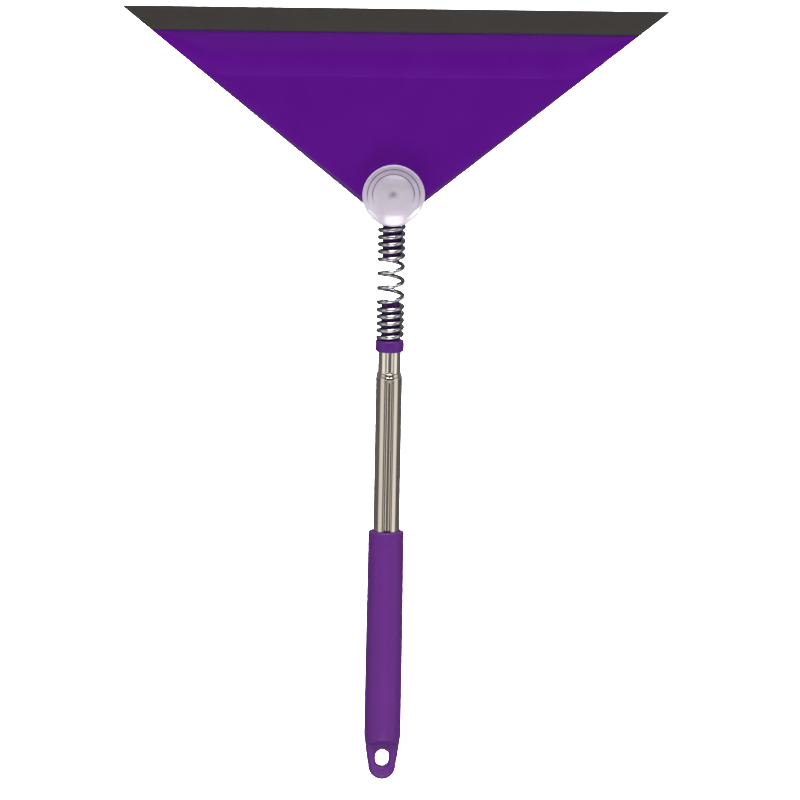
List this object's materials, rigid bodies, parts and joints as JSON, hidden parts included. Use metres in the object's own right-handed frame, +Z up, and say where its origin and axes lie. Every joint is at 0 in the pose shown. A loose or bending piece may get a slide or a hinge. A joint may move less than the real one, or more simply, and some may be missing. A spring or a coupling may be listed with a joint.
{
  "type": "window cleaning squeegee",
  "caption": "Hand squeegee for windows: a triangular flexible head with a rubber blade and a suction cup, on a coil spring neck and a telescopic steel pole with a moulded grip.",
  "frame": {"origin": "on the pole's axis, at the middle of the grip's straight barrel, where a hand or a handle clip holds it", "axes": "+Z up the pole to the wiping edge, +X to the right along the blade, -Y out of the face with the suction cup"},
  "size_m": [0.3914, 0.0317, 0.5585],
  "materials": {
    "grip_plastic": "matte moulded",
    "head_plastic": "gloss moulded",
    "collar_plastic": "matte moulded",
    "blade_rubber": "smooth",
    "cup_vinyl": "clear soft vinyl",
    "tube_steel": "drawn and polished stainless",
    "spring_steel": "chrome plated",
    "screw_steel": "zinc plated",
    "leaf_steel": "spring temper",
    "bush_nylon": "natural nylon",
    "stop_plastic": "black moulded"
  },
  "bodies": {
    "handle": {"grip": "grip_plastic", "outer_tube": "tube_steel", "end_stop": "stop_plastic"},
    "extension": {"inner_tube": "tube_steel", "slide_bush": "bush_nylon", "friction_leaf": "leaf_steel", "lower_plug": "collar_plastic"},
    "neck": {"coil_spring": "spring_steel"},
    "head": {"neck_plug": "collar_plastic", "neck_screw": "screw_steel", "head_shell": "head_plastic", "wiper_blade": "blade_rubber", "suction_cup": "cup_vinyl"}
  },
  "joints": [
    {"name": "telescope", "type": "slide", "parent": "handle", "child": "extension", "axis": [0, 0, 1], "range_m": [0, 0.21]},
    {"name": "bend_fore_aft", "type": "hinge", "parent": "extension", "child": "neck", "pos_m": [0, 0, 0.2906], "axis": [1, 0, 0], "range_deg": [-45, 45], "stiffness_Nm_per_rad": 6, "deforming": ["coil_spring"]},
    {"name": "bend_sideways", "type": "hinge", "parent": "neck", "child": "head", "pos_m": [0, 0, 0.30661], "axis": [0, 1, 0], "range_deg": [-45, 45], "stiffness_Nm_per_rad": 6, "deforming": ["coil_spring"]}
  ]
}
